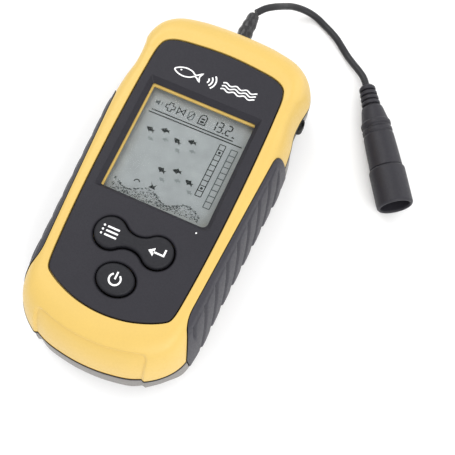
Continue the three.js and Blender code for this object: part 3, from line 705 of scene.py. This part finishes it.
# ---- front half
def front_shell():
    grid, shares = face_grid()
    grid = pressed(grid, shares)
    lip = inset(panel_ring, -GAP)
    rim = grid[0] + inward(grid[0]) * 0.3
    grid[0, :, 2] = FRONT_BOTTOM + 0.3
    down = [at_height(inset(lip, 0.06), FACE_TOP - 0.18), at_height(inset(lip, 0.1), FACE_TOP - 0.45),
            at_height(inset(lip, 0.1), POCKET_FLOOR)]
    shell = loft("yellow_front_shell", [rim, *grid, *down])
    cavity = hollow_between(FRONT_BOTTOM - 1, PLATE_UNDERSIDE)
    window = upright("window", rounded_rectangle(*SCREEN_HALF, SCREEN_Y, (1.8, 0.3, 0.3, 0.3)), *FACE_CUT)
    seat_half = [half + LENS_MARGIN + GAP for half in SCREEN_HALF]
    seat = upright("seat", rounded_rectangle(*seat_half, SCREEN_Y, (1,) * 4), FACE_CUT[0], LENS_HIGH[2] + GAP)
    outlines = [outline(KEYHOLE_GAP) for outline in (rocker_outline, power_outline)]
    holes = [upright("keyhole", outline, *FACE_CUT) for outline in outlines]
    combine(shell, [cavity, window, seat, *holes, *casing_cutters()])
    place(shell, "yellow", "front_shell")


def inward(ring):
    """Unit vectors into the casing at each point of a ring."""
    along = np.roll(ring, -NORMAL_REACH, axis=0) - np.roll(ring, NORMAL_REACH, axis=0)
    along /= np.linalg.norm(along, axis=1)[:, None]
    return np.column_stack([-along[:, 1], along[:, 0], np.zeros(len(ring))])


def window_cutter():
    """The window's opening in the panel: a straight lip, then a frame that slopes up and outwards."""
    top, low = FACE_TOP, PANEL_BOTTOM
    levels = [((0.55, 0.05, 0.05, 0.65), low - 1), ((0.55, 0.05, 0.05, 0.65), low + 0.5),
              ((2.2, 1.6, 1.3, 2.6), top + 0.001), ((2.2, 1.6, 1.3, 2.6), top + 1)]
    rings = []
    for (left, right, bottom, above), z in levels:
        half_x = SCREEN_HALF[0] + (left + right) / 2
        half_y = SCREEN_HALF[1] + (above + bottom) / 2
        ring = rounded_rectangle(half_x, half_y, SCREEN_Y + (above - bottom) / 2, (1.9, 0.5, 0.5, 0.5))
        rings.append(at_height(ring + ((right - left) / 2, 0), z))
    return loft("window", rings)


def hole_cutter(outline, lip):
    """A key opening with a rounded lip."""
    turns = np.linspace(0, math.pi / 2, 6)
    levels = [(0, PANEL_BOTTOM - 1)]
    levels += [(-lip * (1 - math.cos(t)), FACE_TOP - lip + lip * math.sin(t)) for t in turns]
    levels.append((-lip, FACE_TOP + 1))
    return prism("keyhole", outline, levels)


def front_panel():
    levels = [(0.1, PANEL_BOTTOM), (0, PANEL_BOTTOM + 0.1), *rounded_edge(FACE_TOP, 0.45)]
    panel = loft("dark_front_panel", [at_height(inset(panel_ring, PANEL_GAP + d), z) for d, z in levels])
    holes = [hole_cutter(outline(PANEL_KEYHOLE_GAP), 0.9) for outline in (rocker_outline, power_outline)]
    combine(panel, [window_cutter(), *holes])
    place(panel, "panel", "front_panel")


def display():
    lens = prism("clear_screen_lens", rounded_rectangle(
        *(half + LENS_MARGIN for half in SCREEN_HALF), SCREEN_Y, (1.2,) * 4),
        [(0.15, LENS_LOW[2]), (0, LENS_LOW[2] + 0.15), (0, LENS_HIGH[2] - 0.15), (0.15, LENS_HIGH[2])])
    place(lens, "lens", "screen_lens")
    half_x, half_y = (LCD_HIGH[0] - LCD_LOW[0]) / 2, (LCD_HIGH[1] - LCD_LOW[1]) / 2
    glass = prism("lcd_face_glass", rounded_rectangle(half_x, half_y, SCREEN_Y, (0.5,) * 4),
                  [(0.1, LCD_LOW[2]), (0, LCD_LOW[2] + 0.1), (0, LCD_FACE - 0.1), (0.1, LCD_FACE)])
    place(glass, "lcd", "lcd_glass")


# ---- flat marks: display segments and prints
class Marks:
    """Thin flat marks gathered into one mesh, each on a material index."""

    def __init__(self, name, z0, z1):
        self.name, self.z0, self.z1 = name, z0, z1
        self.vertices, self.faces, self.indices = [], [], []

    def area(self, outline, index=0):
        """A filled outline, given anticlockwise."""
        start, count = len(self.vertices), len(outline)
        for z in (self.z0, self.z1):
            self.vertices += [(x, y, z) for x, y in outline]
        made = [tuple(start + i for i in range(count - 1, -1, -1)),
                tuple(start + count + i for i in range(count))]
        made += [(start + i, start + (i + 1) % count, start + count + (i + 1) % count, start + count + i)
                 for i in range(count)]
        self.faces += made
        self.indices += [index] * len(made)

    def line(self, start, end, width, index=0):
        start, end = np.array(start, float), np.array(end, float)
        along = (end - start) / np.linalg.norm(end - start)
        side = np.array([-along[1], along[0]]) * width / 2
        self.area([start - side, end - side, end + side, start + side], index)

    def lines(self, points, width, index=0, closed=False):
        """A stroke along points as one outline, with mitred corners."""
        points = np.array(points, float)
        if closed:
            before, after = np.roll(points, 1, axis=0), np.roll(points, -1, axis=0)
        else:
            before = np.vstack([2 * points[0] - points[1], points[:-1]])
            after = np.vstack([points[1:], 2 * points[-1] - points[-2]])
        one = (points - before) / np.linalg.norm(points - before, axis=1)[:, None]
        two = (after - points) / np.linalg.norm(after - points, axis=1)[:, None]
        mitre = one + two
        mitre /= np.linalg.norm(mitre, axis=1)[:, None]
        mitre /= np.maximum((mitre * two).sum(axis=1), 0.4)[:, None]
        side = np.column_stack([-mitre[:, 1], mitre[:, 0]]) * width / 2
        for i in range(len(points) if closed else len(points) - 1):
            j = (i + 1) % len(points)
            self.area(
                [points[i] - side[i], points[j] - side[j], points[j] + side[j], points[i] + side[i]], index)

    def bow(self, x, y, radius, width, start, end, steps, index=0):
        """A stroke along part of a circle."""
        self.lines(arc(x, y, radius, start, end, steps + 1), width, index)

    def disc(self, x, y, radius, index=0):
        self.area(arc(x, y, radius, 0, 2 * math.pi, 21)[:-1], index)

    def place(self, looks, slot, body, fit=None):
        """Makes the marks; fit is a 2 by 3 matrix that lays them out on their face."""
        if fit is not None:
            self.vertices = [(*(np.array(fit) @ (x, y, 1)), z) for x, y, z in self.vertices]
        piece = make(self.name, self.vertices, self.faces)
        piece.data.transform(Matrix.Scale(MM, 4))
        wear(piece, *looks)
        piece.data.polygons.foreach_set("material_index", self.indices)
        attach(piece, body)


FISH = [(-1.45, 0.1), (-1.0, -0.35), (-0.5, -0.6), (-0.1, -1.0), (0.1, -0.62), (0.55, -0.35), (1.35, -0.75),
        (1.05, -0.05), (1.3, 0.4), (0.6, 0.2), (0.35, 0.5), (0.05, 0.95), (-0.3, 0.6), (-1.0, 0.45)]
SEGMENT_BARS = {  # ends of each bar of a seven-part number, on a cell 1 wide and 2 high
    "a": ((0, 2), (1, 2)), "b": ((1, 2), (1, 1)), "c": ((1, 1), (1, 0)), "d": ((1, 0), (0, 0)),
    "e": ((0, 0), (0, 1)), "f": ((0, 1), (0, 2)), "g": ((0, 1), (1, 1)),
}
NUMBER_BARS = {"1": "bc", "2": "abged", "3": "abgcd"}


def turned_points(points, x, y, degrees=0.0, size=1.0):
    turn = math.radians(degrees)
    c, s = math.cos(turn) * size, math.sin(turn) * size
    return [(x + px * c - py * s, y + px * s + py * c) for px, py in points]


def number(marks, digit, x, y, width):
    height, stroke = 3.9, 0.5
    for bar in NUMBER_BARS[digit]:
        ends = [np.array((x + px * width, y + py * height / 2)) for px, py in SEGMENT_BARS[bar]]
        along = (ends[1] - ends[0]) / np.linalg.norm(ends[1] - ends[0])
        marks.line(ends[0] + along * stroke * 0.35, ends[1] - along * stroke * 0.35, stroke)


def ladder(marks, x0, x1, heights, width, index):
    for x in (x0, x1):
        marks.line((x, heights[0]), (x, heights[-1]), width, index)
    for y in heights:
        marks.line((x0, y), (x1, y), width, index)


def display_segments():
    """What the display shows: fish marks, two depth ladders, a number, symbols and the bottom's echo."""
    dark, faint, painted_fish_shadow = 0, 1, 2
    marks = Marks("lcd_segments", LCD_FACE, LCD_FACE + 0.03)
    fish_at = [(-14.8, 19.3, -12), (-9.8, 20.9, 8), (-4.2, 18.6, -25), (0.7, 20.3, 5), (-4.4, 6.1, -15),
               (0.7, 7.8, 8), (6.3, 5.3, -15)]
    for x, y, turn in fish_at:
        marks.area(turned_points(FISH, x, y, turn, 1.2), dark)
        # a smaller grey copy below and right of each fish is that fish's painted shadow
        marks.area(turned_points(FISH, x + 1.6, y - 3.4, turn, 0.9), painted_fish_shadow)
    marks.area(turned_points([(-1.2, 1.6), (-0.5, 0.2), (-1.3, -0.9), (0.1, -0.9), (1.3, -1.1), (0.8, -0.2),
                              (1.2, 1.0), (0.3, 0.1), (-0.2, 0.4)], -4.6, -0.9), dark)
    marks.bow(-10.4, -1.5, 0.95, 0.4, 0.2, math.pi + 0.1, 12, dark)
    marks.line((-18, 27.0), (13.4, 26.2), 0.46, dark)
    marks.line((-18.6, 25.8), (17.3, 25.0), 0.46, dark)
    ladder(marks, 9.9, 12.1, np.linspace(23.4, 1.8, 11), 0.32, dark)
    ladder(marks, 14.3, 16.7, np.linspace(23.0, -1.4, 11), 0.34, faint)
    for step in (1, 8):
        marks.disc(11.0, 22.3 - step * 2.16, 0.5, dark)
    number(marks, "1", 4.1, 27.6, 1.5)
    number(marks, "3", 6.4, 27.6, 1.6)
    marks.disc(8.85, 27.7, 0.34, dark)
    number(marks, "2", 9.7, 27.5, 1.7)
    marks.area([(12.2, 27.2), (13.4, 27.2), (13.2, 27.9), (12.9, 27.5), (12.7, 28.0), (12.4, 27.5)], dark)
    cross = [(-0.6, -1.7), (0.6, -1.7), (0.7, -0.7), (1.7, -0.6), (1.7, 0.6), (0.7, 0.7), (0.6, 1.7),
             (-0.6, 1.7), (-0.7, 0.7), (-1.7, 0.6), (-1.7, -0.6), (-0.7, -0.7)]
    marks.lines(turned_points(cross, -12.2, 30.2), 0.36, dark, closed=True)
    marks.area(turned_points([(-1.1, -0.5), (-0.4, -0.5), (0.4, -1.1), (0.4, 1.1), (-0.4, 0.5), (-1.1, 0.5)],
                             -16.8, 30.3), faint)
    marks.bow(-16.1, 30.3, 0.75, 0.22, -1.0, 1.0, 8, faint)
    marks.lines([(-9.3, 28.3), (-9.3, 31.4), (-6.7, 28.9), (-6.7, 31.2), (-9.3, 28.9)], 0.38, dark)
    marks.lines([(-5.1, 28.6), (-5.1, 31.0), (-4.1, 31.6), (-3.1, 31.0), (-3.1, 28.6), (-4.1, 28.0)], 0.34,
                faint, closed=True)
    marks.line((-4.9, 28.5), (-3.3, 31.1), 0.34, dark)
    marks.lines([(-0.9, 28.0), (1.7, 28.0), (1.7, 31.0), (0.9, 31.9), (-0.1, 31.9), (-0.9, 31.0)], 0.42, dark,
                closed=True)
    marks.area([(-0.3, 28.6), (1.1, 28.6), (1.1, 29.4), (-0.3, 29.4)], dark)
    marks.area([(-0.3, 29.9), (1.1, 29.9), (1.1, 30.5), (-0.3, 30.5)], dark)
    echo = np.random.default_rng(5)
    for _ in range(620):
        x = echo.uniform(-18, 15)
        ridge = -3.4 - 1.5 * math.sin(0.42 * x + 0.6) - 0.045 * (x + 18)
        y = echo.uniform(-7.6, ridge) if echo.random() < 0.75 else ridge + echo.normal(0, 0.2)
        size = echo.uniform(0.12, 0.26)
        high = 0.11
        marks.area([(x - size, y - high), (x + size, y - high), (x + size, y + high), (x - size, y + high)],
                   faint if echo.random() < 0.7 else dark)
    marks.place(["segment", "faint", "painted_fish_shadow"], "lcd", "casing",
                [(1.01, 0.0147, 0.39), (0.0358, 0.968, -0.94)])


def panel_prints():
    """White print on the panel: a row of plain signs over the screen and a dot beside it."""
    marks = Marks("panel_print", FACE_TOP - 0.05, FACE_TOP + 0.03)
    y = 42.4
    body = [(-15.9, y), (-14.5, y - 1.15), (-12, y - 1.75), (-9.6, y - 1.3), (-7.9, y - 0.3), (-5.9, y - 1.7),
            (-6.4, y), (-5.9, y + 1.7), (-7.9, y + 0.3), (-9.6, y + 1.3), (-12, y + 1.75), (-14.5, y + 1.15)]
    marks.lines(smooth_curve(body, 60, closed=True), 0.5, closed=True)
    marks.disc(-13.6, y + 0.45, 0.32)
    for radius in (1.3, 2.6, 3.9):
        marks.bow(-4.1, y, radius, 0.55, -0.75, 0.75, 12)
    for row in (-1.3, 0.0, 1.3):
        wave = np.linspace(2.2, 15, 50)
        marks.lines(np.column_stack([wave, y + row + 0.4 * np.sin((wave - 2.2) * 1.6)]), 0.5)
    marks.disc(17.7, -14.1, 0.3)
    marks.place(["white"], "panel_plastic", "casing", [(1.0, 0.0147, 0.13), (0.0378, 0.954, 0.13)])


# ---- keys
def key_prints():
    menu = Marks("menu_key_print", KEY_TOP - 0.12, KEY_TOP - 0.01)
    x, y = -ROCKER["lobe_x"], ROCKER["y"]
    for row in (1.5, 0.0, -1.5):
        menu.line((x - 1.5, y + row), (x + 2.9, y + row), 0.62)
        menu.disc(x - 2.7, y + row, 0.38)
    x = ROCKER["lobe_x"]
    menu.lines([(x + 2.6, y + 1.9), (x + 2.6, y - 0.4), (x - 1.4, y - 0.4)], 0.62)
    menu.area([(x - 3.0, y - 0.4), (x - 0.9, y - 1.9), (x - 0.9, y + 1.1)])
    menu.place(["white"], "key_rubber", "menu_rocker")
    power = Marks("power_key_print", KEY_TOP - 0.12, KEY_TOP - 0.01)
    power.bow(0, POWER["y"] - 0.25, 2.0, 0.6, math.radians(125), math.radians(415), 40)
    power.line((0, POWER["y"] - 0.2), (0, POWER["y"] + 2.5), 0.6)
    power.place(["white"], "key_rubber", "power_button")


def key(name, outline_of, node, body):
    low = box_mm(node)[0][2]
    levels = [(0, low + 0.5), *rounded_edge(KEY_TOP - 0.1, 1.0, 9)]
    cap = prism(name, outline_of(0.0), levels)
    flange = prism("flange", outline_of(1.4), [(0.1, 27.5), (0, 27.6), (0, 28.5), (0.1, 28.6)])
    combine(cap, [flange], "UNION")
    place(cap, "key", node, body)


def keys():
    key("menu_rocker_cap", rocker_outline, "menu_rocker_key", "menu_rocker")
    key("power_key_cap", power_outline, "power_key", "power_button")
    key_prints()


# ---- rear half and seal
def rear_tuck(points):
    """The rear half is drawn in a little at the head's sides and round the bottom corners."""
    x, y = np.abs(points[..., 0]), points[..., 1]
    return 0.8 * smoothstep(15, 25, x) * (smoothstep(28, 40, y) + 1 - smoothstep(-60, -54, y))


def rear_shell():
    grid = pressed(side_grid())
    grid = grid - grid_normals(grid) * rear_tuck(grid)[..., None] * (1, 1, 0)
    grid[-1, :, 2] = REAR_TOP - 0.3
    rim = grid[-1] + inward(grid[-1]) * 0.3
    rim[:, 2] = REAR_TOP
    shell = loft("silver_rear_shell", [*grid, rim])
    cavity = hollow_between(WALL, REAR_TOP + 1)
    combine(cavity, [block("bay_walls", *BAY_WALLS)])
    bay = block("bay", *BAY_ROOM)
    door = combine(block("door_way", *DOOR_WAY), [block("groove", *DOOR_GROOVE)], "UNION")
    holes = []
    for count in range(CASE_SCREWS):
        low, high = box_mm(f"case_screw_{count + 1}")
        hole = lathe("screw_hole", SCREW_HOLE, 48)
        hole.data.transform(Matrix.Translation(((low[0] + high[0]) / 2, (low[1] + high[1]) / 2, 0)))
        holes.append(hole)
    low, high = box_mm("strap_lug")
    lug = block("lug_pocket", low - GAP, (BEYOND, high[1] + GAP, high[2] + GAP))
    combine(shell, [cavity, bay, door, *holes, lug, *casing_cutters()])
    place(shell, "silver", "rear_shell")


def case_seal():
    share = np.interp(SEAL_BOTTOM, [z for _, z in FACE_PROFILE], [share for share, _ in FACE_PROFILE])
    level = share_ring(share, 0)[:, :2]
    proud, lip, lip_inset, inner_inset = 0.03, 0.18, 0.3, 3.9
    rings = []
    for distance, z in [(lip_inset, SEAL_BOTTOM - lip), (-proud, SEAL_BOTTOM), (-proud, SEAL_TOP),
                        (lip_inset, SEAL_TOP + lip)]:
        ring = at_height(inset(level, distance, NORMAL_REACH), z)
        rings.append(ring + inward(ring) * scoop_depth(ring)[:, None])
    seal = loft("black_case_seal", rings)
    hole = upright("hole", inset(level, inner_inset, NORMAL_REACH), SEAL_BOTTOM - 1, SEAL_TOP + 1)
    combine(seal, [hole, *casing_cutters()])
    place(seal, "seal", "case_seal")


# ---- grips and strap lug
def grip_relief(grid):
    """How far the grip's face stands out: slanted pads with grooves between them, inside a plain border."""
    x, y, z = np.abs(grid[..., 0]), grid[..., 1], grid[..., 2]
    inner_edge = 27.6 + (y + 36.5) * 0.0586
    across = np.maximum(x - inner_edge, 0) * 0.6 + np.maximum(33.2 - z, 0) * 0.85
    along = (y + GRIP["slant"] * across - 26) / GRIP["pitch"]
    phase = along - np.floor(along)
    from_groove = np.minimum(phase, 1 - phase) * GRIP["pitch"]
    arch = 3.3 + 1.7 * np.abs(2 * phase - 1) ** 3
    ends = smoothstep(0, 1.6, 34 - np.abs(y + 11))
    inside = smoothstep(-0.35, 0.45, across - arch) * smoothstep(0.35, 1.0, from_groove) * ends
    groove = 0.55 * np.exp(-((from_groove / 0.7) ** 2)) * smoothstep(2.4, 4.2, across) * ends
    border = 0.3 * smoothstep(0.0, 1.6, across)
    return border - groove + inside * (0.04 + 0.2 * (1 - phase) + 0.12 * np.sin(math.pi * phase))


def grips():
    grid = np.vstack([side_grid(), face_grid()[0]])
    surface = grid + grid_normals(grid) * grip_relief(grid)[..., None]
    for side, hand in zip(SIDES, ("right", "left")):
        pad = loft(f"grip_pad_{hand}", list(surface))
        combine(pad, [upright("plan", grip_outline(side), GRIP["bottom"], GRIP_CUT_TOP)], "INTERSECT")
        combine(pad, [outer_form("inner", -GRIP["depth"])])
        place(pad, "grip", f"grip_{hand}")


def strap_lug():
    low, high = box_mm("strap_lug")
    lug = block("strap_loop_lug", low, high - (0.8, 0, 0), 1.5)
    hole = lathe("hole", [(0, 0), (0.9, 0), (0.9, 25), (0, 25)], 32)
    hole.data.transform(Matrix.Translation((high[0] - 1.7, (low[1] + high[1]) / 2, 0)))
    combine(lug, [hole])
    place(lug, "seal", "strap_lug")


# ---- gland and socket
def cable_gland():
    """A shrunk sleeve over a collar, lumpy where it has gripped what is under it."""
    tip = GLAND_TIP
    sleeve = smooth_curve([
        (2.72, 66), (2.75, 69), (2.8, 71), (2.9, 72.4), (2.55, 74.2), (2.6, 76.2), (2.35, 78),
        (2.25, tip - 1.3), (2.05, tip - 0.5), (1.6, tip)], 60)
    profile = [(0, 59), (2.7, 59), (2.7, 63.2), (4.2, 63.2), (4.2, 65.2), (2.7, 65.2), *map(tuple, sleeve),
               (0, tip)]

    def lumps(turn, height):
        fade = smoothstep(66, 69, height) * (1 - smoothstep(tip - 2, tip - 0.3, height))
        wave = np.sin(2 * turn + 0.35 * height) * 0.035 + np.sin(3 * turn - 0.9 * height + 1) * 0.025
        return 1 + fade * (wave + 0.01 * np.sin(7 * turn + 2.1 * height))

    gland = lay_in_gland(lathe("gland_sleeve", profile, 96, lumps))
    return place(gland, "gland", "cable_gland")


def lay_on_table(piece):
    """Turns a piece made along +Z to lie along the socket's axis."""
    piece.data.transform(
        Matrix.Translation(SOCKET_START) @ Matrix.Rotation(SOCKET_TURN, 4, "Z") @ Matrix.Rotation(
            math.pi / 2 - SOCKET_TILT, 4, "Y"))
    return piece


def softened(profile, radius):
    """A turned profile with each of its corners off the axis rounded."""
    points = [np.array(p, float) for p in profile]
    made = [points[0]]
    for before, corner, after in zip(points, points[1:], points[2:]):
        one, two = before - corner, after - corner
        cut = min(radius, np.linalg.norm(one) * 0.45, np.linalg.norm(two) * 0.45)
        start = corner + one / np.linalg.norm(one) * cut
        end = corner + two / np.linalg.norm(two) * cut
        made += quadratic(start, corner, end, np.linspace(0, 1, 4))
    made.append(points[-1])
    return [tuple(p) for p in made]


def socket():
    boot = [(0, 0), (2.4, 0)]
    for rib in range(4):
        at, radius = 0.8 + 2.12 * rib, 3.2 + 0.13 * rib
        boot += [(radius - 0.15, at), (radius, at + 0.25), (radius, at + 1.1), (radius - 0.15, at + 1.3),
                 (radius - 0.85, at + 1.4), (radius - 0.85, at + 1.95)]
    boot += [(3.75, 9.4), (0, 9.4)]
    body = [(0, 9.5), (3.85, 9.5), (4.2, 10.4), (5.25, 15.9), (5.75, 16.5), (5.75, 17.8), (5.15, 18.2),
            (5.15, 19), (5.75, 19.4), (5.75, 20.7), (5.35, 21.2), (5.8, 22), (6.0, 27), (6.25, 35.5),
            (0, 35.5)]
    collar = [(0, 35.6), (6.2, 35.6), (6.8, 36.4), (6.85, 38), (6.85, 50.4), (6.4, 51.1), (5.8, 51.1),
              (5.5, 50.4), (5.5, 37.2), (0, 37.2)]
    turned = [("ribbed_boot", softened(boot, 0.12), 96, "socket_boot"),
              ("tapered_body", softened(body, 0.25), 128, "socket_body"),
              ("wide_collar", softened(collar, 0.3), 128, "socket_collar")]
    return [place(lay_on_table(lathe(name, profile, sides)), "socket", node)
            for name, profile, sides, node in turned]


# ---- pieces kept from the frame
def finish_frame_nodes():
    """Gives the CAD nodes that stay their own materials, by how their names start."""
    looks = {
        "white": ("backlight_plate", "cable_header"), "board": ("main_board",), "seal": ("inner_lead",),
        "black": ("lcd_contact_strip", "sonar_chip", "sonar_transformer", "buzzer", "socket_insert"),
        "silver": ("battery_door",), "wrap": ("battery_cell",),
        "steel": ("battery_spring", "contact_plate", "case_screw", "board_screw", "menu_switch",
                  "power_switch", "socket_pin"),
    }
    for name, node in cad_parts.items():
        for look, starts in looks.items():
            if name.startswith(starts):
                wear(node, look)


# ---- floor and light
def stage():
    floor = make("studio_floor", [(-4, -4, 0), (4, -4, 0), (4, 4, 0), (-4, 4, 0)], [(0, 1, 2, 3)])
    m = Material("studio_floor").set(Roughness=0.9, Specular_IOR_Level=0.1)
    m.link(m.mix(m.noise(300), (0.93, 0.93, 0.93), (0.95, 0.95, 0.95)), "Base Color")
    floor.data.materials.append(m.made)
    world = bpy.data.worlds.new("studio")
    world.use_nodes = True
    sky = world.node_tree.nodes["Background"]
    sky.inputs["Color"].default_value = (1, 1, 1, 1)
    sky.inputs["Strength"].default_value = 1.0
    bpy.context.scene.world = world
    lamps = [("key_light", (-0.45, 0.35, 0.75), 0.55, 2.8), ("fill_light", (0.6, -0.5, 0.7), 0.8, 5.2),
             ("rim_light", (0.5, 0.6, 0.45), 0.5, 1.2)]
    for name, at, size, power in lamps:
        data = bpy.data.lights.new(name, "AREA")
        data.size = size
        data.energy = power
        lamp = bpy.data.objects.new(name, data)
        lamp.location = at
        lamp.rotation_mode = "QUATERNION"
        lamp.rotation_quaternion = (Vector((0, 0, 0.02)) - Vector(at)).to_track_quat("-Z", "Y")
        bpy.context.scene.collection.objects.link(lamp)
    bpy.context.scene.view_settings.view_transform = "Standard"


make_camera()
cable = make_cable()
gland = cable_gland()
connector = socket()
front_shell()
front_panel()
display()
display_segments()
panel_prints()
keys()
rear_shell()
case_seal()
grips()
strap_lug()
finish_frame_nodes()
stage()
